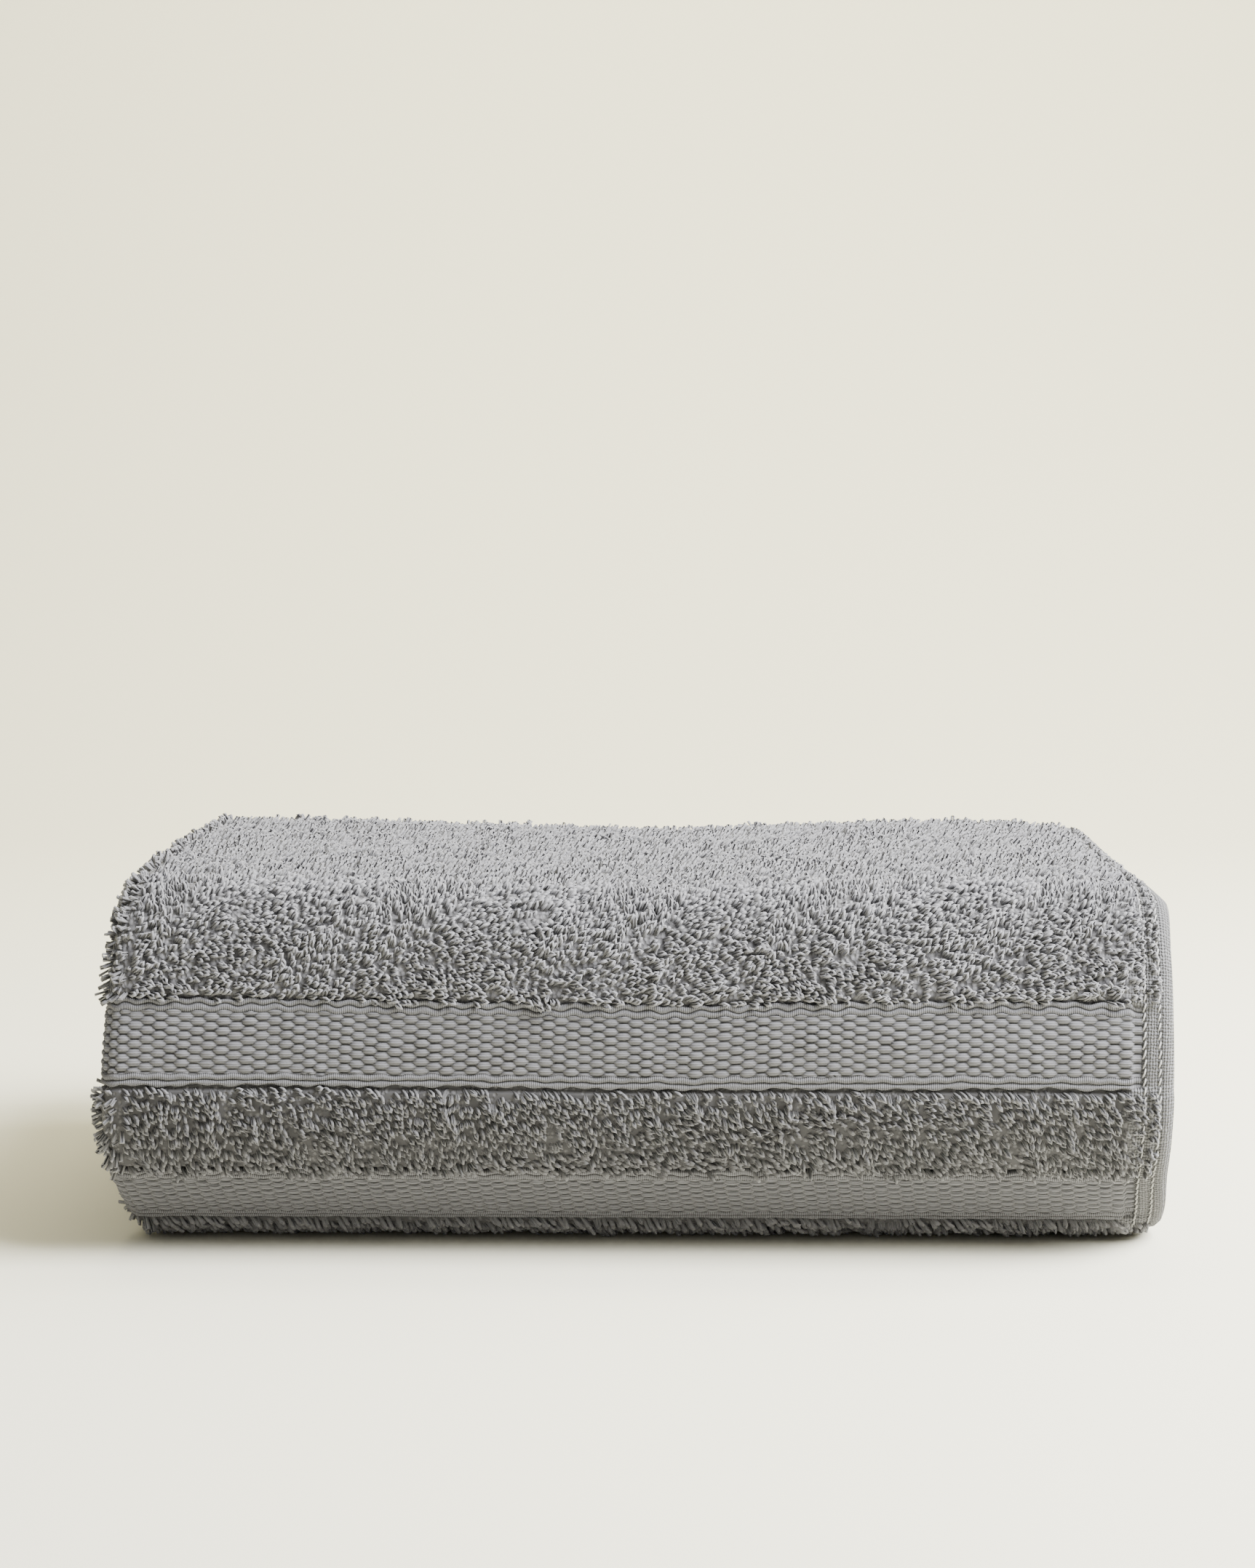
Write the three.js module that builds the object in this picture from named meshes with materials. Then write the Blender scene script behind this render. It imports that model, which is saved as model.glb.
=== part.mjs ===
import * as THREE from 'three';

// Folded bath towel. One terry cloth, 700 x 1400 mm, is first folded in half across its width, so
// its side hems lie together on the right and a plain fold is on the left. The doubled cloth is then
// laid back and forth in six layers. The first layer lies underneath, its end turns up round the
// front of the pile and becomes the top layer, and the other four lie between.
// Millimetres, +Z up, the front looks towards -Y, and the origin is under the middle of the towel.

// Thickness of one ply of cloth with its loops, and the air between plies and between layers
const PLY = 8.8;
const PLY_GAP = 0.8;
const LAYER_GAP = 2.1;
const DOUBLE = 2 * PLY + PLY_GAP;
const PITCH = DOUBLE + LAYER_GAP;
const LAYERS = 6;

// Outer size of the folded towel before it settles
const WIDTH = 352;
const DEPTH = 246;
const FRONT = -DEPTH / 2;
const BACK = DEPTH / 2;

// Woven border: two flat bands without loops, set back from the loops around them
const BAND_RECESS = 2.6;
const BAND_EDGE = 2.0;

// Hems: a thin turned margin along both sides and both ends of the cloth
const HEM_WIDTH = 13;
const HEM_STEP = 1.5;
const HEM_THICKNESS = 5.6;
const HEM_TIP = 3.2;
const HEM_ROUND = 2.0;

// The under ply stops short of the upper one at the side hems
const UNDER_PLY_SHORT = 7;

// How far each end hem of the cloth stops short of the back
const END_HEM_SETBACK = 7;

// How the cloth turns up round the front, from the floor to the top. Radius is that of the middle
// of the doubled cloth; left and right are how far its two edges stand in at the start of each turn.
const WRAP = [
  { part: 'bottom corner', turn: 39, radius: 22, steps: 4, left: 7, right: 0, curl: 1.5 },
  { part: 'lower band', turn: 15, radius: 100, steps: 2, left: 2.5, right: 0.5, curl: 2.0, band: true },
  { part: 'strip', turn: 36, radius: 38, steps: 4, left: 0, right: 2, curl: 3.0 },
  { part: 'upper band', turn: 18, radius: 86, steps: 2, left: 0, right: 3, curl: 4.0, band: true },
  { part: 'above the band', turn: 10, radius: 81, steps: 1, left: 0.5, right: 3, curl: 4.0 },
  { part: 'top corner', turn: 62, radius: 26, steps: 6, left: 1, right: 2.5, curl: 4.0 },
];

// The layers from the top one down, each with the place where it ends. The front folds lie behind
// the turned-up cloth, the back folds at the back, and the last layer ends in an end hem.
const LAYER_ROWS = [
  { part: 'top layer', heading: 0, stop: BACK - DOUBLE / 2 - PITCH / 2, left: 3, right: 0, curl: 3.0 },
  { part: 'fifth layer', heading: -180, stop: FRONT + 45, left: 5, right: 3, curl: 1.5 },
  { part: 'fourth layer', heading: 0, stop: BACK - DOUBLE / 2 - PITCH / 2, left: 3, right: 5, curl: 1.0 },
  { part: 'third layer', heading: -180, stop: FRONT + 47, left: 6, right: 1, curl: 1.5 },
  { part: 'second layer', heading: 0, stop: BACK - END_HEM_SETBACK, left: 4, right: 4, curl: 1.0 },
];
const FOLD_STEPS = 7;

// The pile of layers is sampled along these lines from front to back, the same in every layer
const RIB_LINES = [-72, -36, 0, 36, 72];

// Columns of points across the cloth, from the left fold to the side hem
const COLUMNS = [0, 0.13, 0.27, 0.41, 0.53, 0.66, 0.8, 1];
const FOLD_ARC_POINTS = 5;

// How the pile of layers settles: rise of the top along the width, and the fall at its edges
const TOP_RISES = [
  { x: -176, rise: 3.0 },
  { x: -120, rise: 2.5 },
  { x: -70, rise: 1.0 },
  { x: 10, rise: -1.0 },
  { x: 55, rise: 0.8 },
  { x: 110, rise: 2.2 },
  { x: 140, rise: 1.6 },
  { x: 176, rise: -0.6 },
];
const FRONT_FALL = 5.0;
const FRONT_FALL_REACH = 80;
const BACK_FALL = 2.0;
const BACK_FALL_REACH = 50;

// The layers wander a little in and out: how far, and over what length and height they sway
const WANDER_IN = { amount: 1.8, across: 60, up: 22 };
const WANDER_SIDE = { amount: 1.2, across: 45, up: 24 };

const STACK_HEIGHT = LAYERS * PITCH - LAYER_GAP;

const radians = THREE.MathUtils.degToRad;
const ease = (t) => t * t * (3 - 2 * t);
const ramp = (value, from, to) => ease(THREE.MathUtils.clamp((value - from) / (to - from), 0, 1));

// Place and heading at a distance along a stretch of the path. A stretch is straight or a turn of
// the doubled cloth's middle line. Heading 180 runs to the front, 90 up and 0 to the back.
function pointOn({ start, turn, radius }, along) {
  const heading = radians(start.heading);
  if (turn === 0) {
    const y = start.y + along * Math.cos(heading);
    const z = start.z + along * Math.sin(heading);
    return { y, z, heading: start.heading };
  }
  const side = Math.sign(turn);
  const turned = (side * along) / radius;
  const centreY = start.y - side * radius * Math.sin(heading);
  const centreZ = start.z + side * radius * Math.cos(heading);
  return {
    y: centreY + side * radius * Math.sin(heading + turned),
    z: centreZ - side * radius * Math.cos(heading + turned),
    heading: start.heading + THREE.MathUtils.radToDeg(turned),
  };
}

function straight(start, length, row) {
  const stretch = { ...row, start, length, turn: 0 };
  return { ...stretch, end: pointOn(stretch, length) };
}

function bend(start, turn, radius, row) {
  const length = radius * radians(Math.abs(turn));
  const stretch = { ...row, start, length, turn, radius };
  const heading = start.heading + turn;
  return { ...stretch, end: { ...pointOn(stretch, length), heading } };
}

// The cloth turned up round the front. An upright stretch follows where the cloth stands plumb.
function turnUp(from, upright) {
  const stretches = [];
  let at = from;
  for (const row of WRAP) {
    const stretch = bend(at, -row.turn, row.radius, row);
    stretches.push(stretch);
    at = stretch.end;
    if (at.heading === 90) {
      const foot = { part: 'upright', steps: 1, left: row.left, right: row.right, curl: row.curl };
      stretches.push(straight(at, upright, foot));
      at = stretches.at(-1).end;
    }
  }
  return stretches;
}

// The whole path of the doubled cloth, from its end hem at the back of the bottom layer
function layPath() {
  const trial = turnUp({ y: 0, z: 0, heading: 180 }, 0);
  const reach = -trial.find((stretch) => stretch.end.heading === 90).end.y;
  const upright = (LAYERS - 1) * PITCH - trial.at(-1).end.z;
  const hem = { y: BACK - END_HEM_SETBACK, z: DOUBLE / 2, heading: 180 };
  const flap = hem.y - (FRONT + DOUBLE / 2 + reach);
  const bottom = { part: 'bottom layer', ribbed: true, left: 8, right: 2, curl: 1.0 };
  const path = [straight(hem, flap, bottom)];
  path.push(...turnUp(path[0].end, upright));
  for (const row of LAYER_ROWS) {
    const { end } = path.at(-1);
    path.push(straight(end, Math.abs(row.stop - end.y), { ...row, ribbed: true }));
    if (row !== LAYER_ROWS.at(-1)) {
      const turn = row.heading === 0 ? -180 : 180;
      const fold = { ...row, part: `${row.part} fold`, steps: FOLD_STEPS };
      path.push(bend(path.at(-1).end, turn, PITCH / 2, fold));
    }
  }
  return path;
}

// Distances along the path of the rows of points: the ends of every stretch, even steps in the
// turns, the rib lines of the straight layers, and the edges of the bands and of the end hems
function rowDistances(path, total) {
  const distances = new Set();
  let start = 0;
  for (const stretch of path) {
    const { length, steps = 1 } = stretch;
    for (let i = 0; i < steps; i += 1) {
      distances.add(start + (length * i) / steps);
    }
    if (stretch.ribbed) {
      const way = Math.cos(radians(stretch.start.heading));
      RIB_LINES.map((y) => (y - stretch.start.y) * way)
        .filter((along) => along > HEM_WIDTH && along < length - HEM_WIDTH)
        .forEach((along) => distances.add(start + along));
    }
    if (stretch.band) {
      distances.add(start + BAND_EDGE);
      distances.add(start + length - BAND_EDGE);
    }
    start += length;
  }
  for (const inset of [0, HEM_ROUND, HEM_WIDTH, HEM_WIDTH + HEM_STEP]) {
    distances.add(inset);
    distances.add(total - inset);
  }
  return [...distances].sort((a, b) => a - b);
}

// Thickness of one ply at a distance from a hem's edge
function hemThickness(inset) {
  if (inset < HEM_ROUND) {
    return THREE.MathUtils.lerp(HEM_TIP, HEM_THICKNESS, inset / HEM_ROUND);
  }
  return THREE.MathUtils.lerp(HEM_THICKNESS, PLY, ramp(inset, HEM_WIDTH, HEM_WIDTH + HEM_STEP));
}

// One row: where the doubled cloth's middle is, how far its edges stand in, how much the side hem
// curls, how deep a band is set, and how thick a ply is
function rowAt(path, distance, total) {
  let start = 0;
  let index = 0;
  while (index < path.length - 1 && distance > start + path[index].length) {
    start += path[index].length;
    index += 1;
  }
  const stretch = path[index];
  const next = path[index + 1] ?? stretch;
  const along = distance - start;
  const share = ease(along / stretch.length);
  const mix = (key) => THREE.MathUtils.lerp(stretch[key], next[key], share);
  const inBand = Math.min(along, stretch.length - along);
  return {
    ...pointOn(stretch, along),
    left: mix('left'),
    right: mix('right'),
    curl: mix('curl'),
    recess: stretch.band ? BAND_RECESS * ramp(inBand, 0, BAND_EDGE) : 0,
    thickness: hemThickness(Math.min(distance, total - distance)),
  };
}

// One ply of a row as two lists of points, its outer face and the face towards the other ply, from
// the left fold to the side hem. Side is 1 for the upper ply and -1 for the under one.
function plyFaces(row, side, foldCentre, rightEdge, curl) {
  const middle = (side * (PLY + PLY_GAP)) / 2;
  const hemStart = rightEdge - HEM_WIDTH - HEM_STEP;
  const across = COLUMNS.map((share) => THREE.MathUtils.lerp(foldCentre, hemStart, share));
  across.push(rightEdge - HEM_WIDTH, rightEdge - HEM_ROUND, rightEdge);
  const face = (x, outwards, recess) => {
    const thickness = Math.min(row.thickness, hemThickness(rightEdge - x));
    const hemShare = Math.max(0, (x - hemStart) / (rightEdge - hemStart));
    const n = middle + outwards * (thickness / 2 - recess) - curl * hemShare * hemShare;
    return { x, n };
  };
  return {
    outer: across.map((x) => face(x, side, row.recess)),
    inner: across.map((x) => face(x, -side, 0)),
  };
}

// Cross-section of the doubled cloth in one row: a loop of points, x across and n outwards. The
// upper ply runs out to its side hem and back, then the under ply does, and the left fold closes it.
function section(row) {
  const foldCentre = -WIDTH / 2 + row.left + DOUBLE / 2;
  const rightEdge = WIDTH / 2 - row.right;
  const upper = plyFaces(row, 1, foldCentre, rightEdge, row.curl);
  const under = plyFaces(row, -1, foldCentre, rightEdge - UNDER_PLY_SHORT, 0);
  const foldInside = { x: foldCentre - PLY_GAP / 2, n: 0 };
  const foldHeight = Math.abs(upper.outer[0].n);
  const fold = Array.from({ length: FOLD_ARC_POINTS }, (unused, i) => {
    const angle = (Math.PI * (i + 1)) / (FOLD_ARC_POINTS + 1);
    return {
      x: foldCentre - (DOUBLE / 2) * Math.sin(angle),
      n: -foldHeight * Math.cos(angle),
    };
  });
  return [
    ...upper.outer,
    ...upper.inner.reverse(),
    foldInside,
    ...under.inner,
    ...under.outer.reverse(),
    ...fold,
  ];
}

// Rise of the settled top at a place on the pile of layers
function topRise(x, y) {
  const last = TOP_RISES.length - 2;
  const after = TOP_RISES.findIndex((row) => x < row.x);
  const i = THREE.MathUtils.clamp(after < 0 ? last : after - 1, 0, last);
  const [a, b] = [TOP_RISES[i], TOP_RISES[i + 1]];
  const rise = THREE.MathUtils.lerp(a.rise, b.rise, ramp(x, a.x, b.x));
  const front = Math.max(0, 1 - (y - FRONT) / FRONT_FALL_REACH);
  const back = Math.max(0, 1 - (BACK - y) / BACK_FALL_REACH);
  return rise - FRONT_FALL * front * front - BACK_FALL * back * back;
}

// Where a point of the ideal pile comes to lie. Layers settle and wander more the higher they are,
// and the floor stays flat.
function settle(x, y, z) {
  const height = z / STACK_HEIGHT;
  const sideways = WANDER_SIDE.amount * Math.sin(y / WANDER_SIDE.across + z / WANDER_SIDE.up);
  const inwards = WANDER_IN.amount * Math.sin(x / WANDER_IN.across + z / WANDER_IN.up);
  return new THREE.Vector3(
    x + sideways * height,
    y + inwards * height,
    z + topRise(x, y) * height * height,
  );
}

// The towel as one closed body: the section carried along the path, with its two ends closed
function towelGeometry() {
  const path = layPath();
  const total = path.reduce((sum, stretch) => sum + stretch.length, 0);
  const rows = rowDistances(path, total).map((distance) => rowAt(path, distance, total));
  const sections = rows.map(section);
  const points = rows.flatMap((row, r) => {
    const heading = radians(row.heading);
    return sections[r].map(({ x, n }) => {
      return settle(x, row.y - n * Math.sin(heading), row.z + n * Math.cos(heading));
    });
  });
  const loop = sections[0].length;
  const faces = [];
  for (let r = 0; r < rows.length - 1; r += 1) {
    for (let i = 0; i < loop; i += 1) {
      const a = r * loop + i;
      const b = r * loop + ((i + 1) % loop);
      faces.push(a, b, b + loop, a, b + loop, a + loop);
    }
  }
  const outline = (r) => sections[r].map(({ x, n }) => new THREE.Vector2(x, n));
  const lastRow = rows.length - 1;
  for (const [a, b, c] of THREE.ShapeUtils.triangulateShape(outline(0), [])) {
    faces.push(a, b, c);
  }
  for (const [a, b, c] of THREE.ShapeUtils.triangulateShape(outline(lastRow), [])) {
    faces.push(lastRow * loop + a, lastRow * loop + c, lastRow * loop + b);
  }
  const geometry = new THREE.BufferGeometry().setFromPoints(points);
  geometry.setIndex(faces);
  geometry.computeBoundingBox();
  const middle = geometry.boundingBox.getCenter(new THREE.Vector3());
  geometry.translate(-middle.x, -middle.y, 0);
  geometry.computeVertexNormals();
  return geometry;
}

const terry = new THREE.MeshStandardMaterial({ color: 0xa09e9d, roughness: 0.95, metalness: 0 });

const towel = new THREE.Mesh(towelGeometry(), terry);
towel.name = 'towel';

const group = new THREE.Group();
group.add(towel);

export default group;
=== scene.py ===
import math

import bpy
import numpy as np
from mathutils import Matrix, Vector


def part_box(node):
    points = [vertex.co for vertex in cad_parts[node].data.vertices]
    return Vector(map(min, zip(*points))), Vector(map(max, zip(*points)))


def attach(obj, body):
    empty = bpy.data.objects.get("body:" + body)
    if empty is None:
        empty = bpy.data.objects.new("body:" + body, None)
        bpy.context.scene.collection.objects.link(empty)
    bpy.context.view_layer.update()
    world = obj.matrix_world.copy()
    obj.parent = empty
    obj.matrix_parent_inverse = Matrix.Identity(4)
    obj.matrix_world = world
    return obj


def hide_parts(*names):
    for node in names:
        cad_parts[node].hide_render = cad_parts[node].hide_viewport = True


# Folded bath towel of grey cotton terry, 700 x 1400 mm when it is opened out.
# Metres, +Z up, the front of the folded towel looks towards -Y.

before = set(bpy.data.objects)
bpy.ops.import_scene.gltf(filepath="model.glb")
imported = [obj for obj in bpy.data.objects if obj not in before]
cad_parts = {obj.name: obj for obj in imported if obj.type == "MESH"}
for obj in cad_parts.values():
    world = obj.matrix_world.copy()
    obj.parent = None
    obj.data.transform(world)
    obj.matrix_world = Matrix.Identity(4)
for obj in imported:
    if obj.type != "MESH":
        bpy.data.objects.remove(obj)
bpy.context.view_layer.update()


# Camera
# It stands in front of the towel, a little right of its middle and about one towel's height above
# its top, with a short telephoto lens, and looks slightly down and to the left.
CAMERA_PLACE = (0.0112, -1.0625, 0.2416)
LOOK_DOWN = math.radians(5.17)
LOOK_LEFT = math.radians(0.86)
CAMERA_LENS = 67.9

camera_data = bpy.data.cameras.new("camera")
camera_data.lens = CAMERA_LENS
camera = bpy.data.objects.new("camera", camera_data)
camera.location = CAMERA_PLACE
camera.rotation_euler = (math.pi / 2 - LOOK_DOWN, 0.0, LOOK_LEFT)
bpy.context.collection.objects.link(camera)
bpy.context.scene.camera = camera


# Floor and backdrop
# One seamless sheet of warm white paper: it lies flat under the towel, turns up in a wide cove
# behind it and goes on as the wall.
PAPER_WIDTH = 9.0
PAPER_FRONT = -4.0
COVE_START = 1.1
COVE_RADIUS = 1.2
COVE_STEPS = 25
WALL_TOP = 4.0
PAPER_COLOUR = (0.765, 0.742, 0.605)
PAPER_MOTTLE = 0.985

# Numbers of the node sockets that are used
ATTRIBUTE_VALUE, WAVE_HEIGHT, OBJECT_PLACE = 2, 1, 3
MIX_SHARE, MIX_FIRST, MIX_SECOND, MIXED_COLOUR = 0, 6, 7, 2


class Tone:
    """One output in a material's node tree. The operators + - * / on it add Math nodes."""

    def __init__(self, tree, output=None):
        self.tree = tree
        self.output = output

    def node(self, kind, settings=None, sockets=None, output=0):
        """A new node of that type, its settings first, then its sockets' values or links."""
        made = self.tree.nodes.new(kind)
        for name, value in (settings or {}).items():
            setattr(made, name, value)
        for name, value in (sockets or {}).items():
            if isinstance(value, Tone):
                self.tree.links.new(value.output, made.inputs[name])
            else:
                made.inputs[name].default_value = value
        return Tone(self.tree, made.outputs[output])

    def carried(self, name):
        """The value of that name that the mesh carries at its points."""
        return self.node("ShaderNodeAttribute", {"attribute_name": name}, None, ATTRIBUTE_VALUE)

    def noise(self, scale):
        """Fine uneven noise over this tone's places."""
        sockets = {"Vector": self, "Scale": scale, "Detail": 2.0}
        return self.node("ShaderNodeTexNoise", None, sockets)

    def math(self, operation, first, second=0.0):
        return self.node("ShaderNodeMath", {"operation": operation}, {0: first, 1: second})

    def __add__(self, other):
        return self.math("ADD", self, other)

    __radd__ = __add__

    def __mul__(self, other):
        return self.math("MULTIPLY", self, other)

    __rmul__ = __mul__

    def __sub__(self, other):
        return self.math("SUBTRACT", self, other)

    def __rsub__(self, other):
        return self.math("SUBTRACT", other, self)

    def __pow__(self, power):
        return self.math("POWER", self, power)

    def of(self, operation):
        """This tone's absolute value, sine, square root or the like."""
        return self.math(operation, self)

    def clipped(self):
        """This tone held between 0 and 1."""
        return self.node("ShaderNodeClamp", None, {"Value": self})

    def blend(self, first, second):
        """A colour that goes from the first to the second as this tone goes from 0 to 1."""
        sockets = {MIX_SHARE: self, MIX_FIRST: first, MIX_SECOND: second}
        return self.node("ShaderNodeMix", {"data_type": "RGBA"}, sockets, MIXED_COLOUR)


def new_material(name, roughness, sheen=0.0):
    """An empty cloth or paper material: its node tree, with the even values set on the shader."""
    material = bpy.data.materials.new(name)
    material.use_nodes = True
    shader = material.node_tree.nodes["Principled BSDF"]
    shader.inputs["Roughness"].default_value = roughness
    shader.inputs["Specular IOR Level"].default_value = 0.25
    shader.inputs["Sheen Weight"].default_value = sheen
    shader.inputs["Sheen Roughness"].default_value = 0.6
    return material, Tone(material.node_tree)


def dress(material, colour, height=None, bump=0.0, reach=0.0005):
    """Joins a colour to the material's shader, and a height through a Bump node to its normal."""
    shader = material.node_tree.nodes["Principled BSDF"]
    material.node_tree.links.new(colour.output, shader.inputs["Base Color"])
    if height is not None:
        sockets = {"Strength": bump, "Distance": reach, "Height": height}
        normal = height.node("ShaderNodeBump", None, sockets)
        material.node_tree.links.new(normal.output, shader.inputs["Normal"])


def new_piece(name, points, faces, material, values=None, uv=None):
    """A smooth mesh object from arrays of points and of faces, each array of faces having one
    number of corners, with float values for its points and a UV place for each point."""
    mesh = bpy.data.meshes.new(name)
    corners = np.concatenate([part.ravel() for part in faces])
    sizes = np.concatenate([np.full(len(part), part.shape[1]) for part in faces])
    mesh.vertices.add(len(points))
    mesh.vertices.foreach_set("co", np.asarray(points, dtype=np.float32).ravel())
    mesh.loops.add(len(corners))
    mesh.loops.foreach_set("vertex_index", corners.astype(np.int32))
    mesh.polygons.add(len(sizes))
    mesh.polygons.foreach_set("loop_start", (np.cumsum(sizes) - sizes).astype(np.int32))
    mesh.polygons.foreach_set("use_smooth", np.ones(len(sizes), dtype=bool))
    for value_name, value in (values or {}).items():
        layer = mesh.attributes.new(value_name, "FLOAT", "POINT")
        layer.data.foreach_set("value", np.asarray(value, dtype=np.float32).ravel())
    if uv is not None:
        layer = mesh.uv_layers.new(name="cloth")
        layer.data.foreach_set("uv", np.asarray(uv, dtype=np.float32)[corners].ravel())
    mesh.update(calc_edges=True)
    mesh.materials.append(material)
    piece = bpy.data.objects.new(name, mesh)
    bpy.context.collection.objects.link(piece)
    return piece


def grid_faces(rows, columns):
    """Four-cornered faces between neighbouring points of a grid numbered row by row."""
    corner = np.arange((rows - 1) * columns).reshape(rows - 1, columns)[:, :-1]
    corner = corner.ravel()
    return np.stack([corner, corner + 1, corner + columns + 1, corner + columns], axis=1)


turn = np.linspace(-math.pi / 2, 0.0, COVE_STEPS)
cove_y = COVE_START + COVE_RADIUS * np.cos(turn)
cove_z = COVE_RADIUS * (1 + np.sin(turn))
paper_y = np.concatenate([[PAPER_FRONT], cove_y, [COVE_START + COVE_RADIUS]])
paper_z = np.concatenate([[0.0], cove_z, [WALL_TOP]])
paper_x = np.array([-PAPER_WIDTH / 2, PAPER_WIDTH / 2])
across_paper = np.tile(paper_x, len(paper_y))
paper_points = np.stack([across_paper, np.repeat(paper_y, 2), np.repeat(paper_z, 2)], axis=1)

paper, tone = new_material("studio_paper", roughness=0.9)
grain = tone.node("ShaderNodeTexNoise", None, {"Scale": 3.0, "Detail": 3.0})
mottled = tuple(PAPER_MOTTLE * value for value in PAPER_COLOUR) + (1.0,)
dress(paper, grain.blend(PAPER_COLOUR + (1.0,), mottled))
floor = new_piece("floor", paper_points, [grid_faces(len(paper_y), 2)], paper)


# Studio light
# The main soft box hangs at the upper right and throws the soft shadow to the left. A weaker one
# stands lower down on the right, a warm one washes the wall, and pale surroundings fill the rest.
MAIN_LIGHT = {"place": (0.95, -0.40, 1.15), "size": 0.9, "power": 113.0}
SIDE_LIGHT = {"place": (1.55, 0.30, 1.0), "size": 0.9, "power": 50.0}
WALL_LIGHT = {"place": (0.3, 0.8, 2.2), "size": 1.8, "power": 115.0, "aim": (0.0, 2.3, 1.2)}
WALL_LIGHT_COLOUR = (1.0, 0.93, 0.66)
TOWEL_MIDDLE = (0.0, 0.0, 0.06)
SURROUNDINGS = (1.0, 0.99, 0.97, 1.0)
SURROUNDINGS_STRENGTH = 0.41


def add_light(name, place, size, power, aim=TOWEL_MIDDLE, colour=(1.0, 1.0, 1.0)):
    """A square area light that faces its aim."""
    data = bpy.data.lights.new(name, "AREA")
    data.size = size
    data.energy = power
    data.color = colour
    light = bpy.data.objects.new(name, data)
    light.location = place
    away = [start - end for start, end in zip(place, aim)]
    across = math.hypot(away[0], away[1])
    light.rotation_euler = (math.atan2(across, away[2]), 0.0, math.atan2(away[0], -away[1]))
    bpy.context.collection.objects.link(light)


add_light("main_light", **MAIN_LIGHT)
add_light("side_light", **SIDE_LIGHT)
add_light("wall_light", colour=WALL_LIGHT_COLOUR, **WALL_LIGHT)
world = bpy.data.worlds.new("surroundings")
world.use_nodes = True
world.node_tree.nodes["Background"].inputs["Color"].default_value = SURROUNDINGS
world.node_tree.nodes["Background"].inputs["Strength"].default_value = SURROUNDINGS_STRENGTH
bpy.context.scene.world = world


# Towel cloth
# One length of cotton terry, folded in half across its width so that its side hems lie together
# on the right, then laid back and forth in six layers. The first layer lies underneath and turns
# up round the front to become the top one. Its ground weave is thin where loops stand on it.
PLY = 0.0088
PLY_GAP = 0.0008
LAYER_GAP = 0.0021
HALF = PLY + PLY_GAP / 2
PITCH = 2 * HALF + LAYER_GAP
LAYERS = 6
STACK_HEIGHT = LAYERS * PITCH - LAYER_GAP
WIDTH = 0.352
FRONT = -0.123
BACK = 0.123
END_HEM_SETBACK = 0.007
UNDER_PLY_SHORT = 0.007
BACK_FOLD = BACK - HALF - PITCH / 2
HEM_WIDTH = 0.013
HEM_STEP = 0.0015
HEM_THICKNESS = 0.0056
HEM_TIP = 0.0032
HEM_ROUND = 0.002
BAND_RECESS = 0.0026
BAND_EDGE = 0.002
HEM_RECESS = 0.0010
PILE_HEIGHT = 0.0031
GROUND_DEPTH = 0.0021
GROOVE_DEPTH = 0.0037
GROOVE_REACH, GROOVE_EDGE = 0.0016, 0.0002
UNDER_BORDER, UNDER_BORDER_FADE = 0.0012, 0.0012
SEAM_ROWS = (0.0050, 0.0100)
SEAM_DIP = 0.0006
SEAM_DIP_WIDTH = 0.0008
HEM_LIFT_END = 0.0125

# Turns of the doubled cloth round the front, from the floor to the top
FRONT_TURNS = np.array([39, 15, 36, 18, 10, 62])
FRONT_RADII = np.array([0.022, 0.100, 0.038, 0.086, 0.081, 0.026])
front_headings = np.radians(180 - np.concatenate([[0], np.cumsum(FRONT_TURNS)]))
front_reaches = FRONT_RADII * np.diff(np.sin(front_headings))
rises = FRONT_RADII * np.diff(np.cos(front_headings))
reach = front_reaches[:3].sum()
top_start = FRONT + HALF - front_reaches[3:].sum()
upright = (LAYERS - 1) * PITCH - rises.sum()

# Stretches of the cloth's path: degrees turned, then the radius of a turn or the length of a
# straight one, how far its two edges stand in, and how much the side hem curls
STRETCHES = {
    "bottom layer": (0, BACK - END_HEM_SETBACK - (FRONT + HALF + reach), 0.0080, 0.0020, 0.0010),
    "bottom corner": (-39, 0.022, 0.0070, 0.0000, 0.0015),
    "lower band": (-15, 0.100, 0.0025, 0.0005, 0.0020),
    "strip": (-36, 0.038, 0.0000, 0.0020, 0.0030),
    "upright": (0, upright, 0.0000, 0.0020, 0.0030),
    "upper band": (-18, 0.086, 0.0000, 0.0021, 0.0040),
    "above the band": (-10, 0.081, 0.0005, 0.0026, 0.0040),
    "top corner": (-62, 0.026, 0.0010, 0.0025, 0.0040),
    "top layer": (0, BACK_FOLD - top_start, 0.0030, 0.0000, 0.0030),
    "upper back fold": (-180, PITCH / 2, 0.0030, 0.0000, 0.0030),
    "fifth layer": (0, BACK_FOLD - FRONT - 0.045, 0.0050, 0.0030, 0.0015),
    "upper front fold": (180, PITCH / 2, 0.0050, 0.0030, 0.0015),
    "fourth layer": (0, BACK_FOLD - FRONT - 0.045, 0.0030, 0.0050, 0.0010),
    "lower back fold": (-180, PITCH / 2, 0.0030, 0.0050, 0.0010),
    "third layer": (0, BACK_FOLD - FRONT - 0.047, 0.0060, 0.0010, 0.0015),
    "lower front fold": (180, PITCH / 2, 0.0060, 0.0010, 0.0015),
    "second layer": (0, BACK - END_HEM_SETBACK - FRONT - 0.047, 0.0040, 0.0040, 0.0010),
}
BANDS = ("lower band", "upper band")

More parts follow.
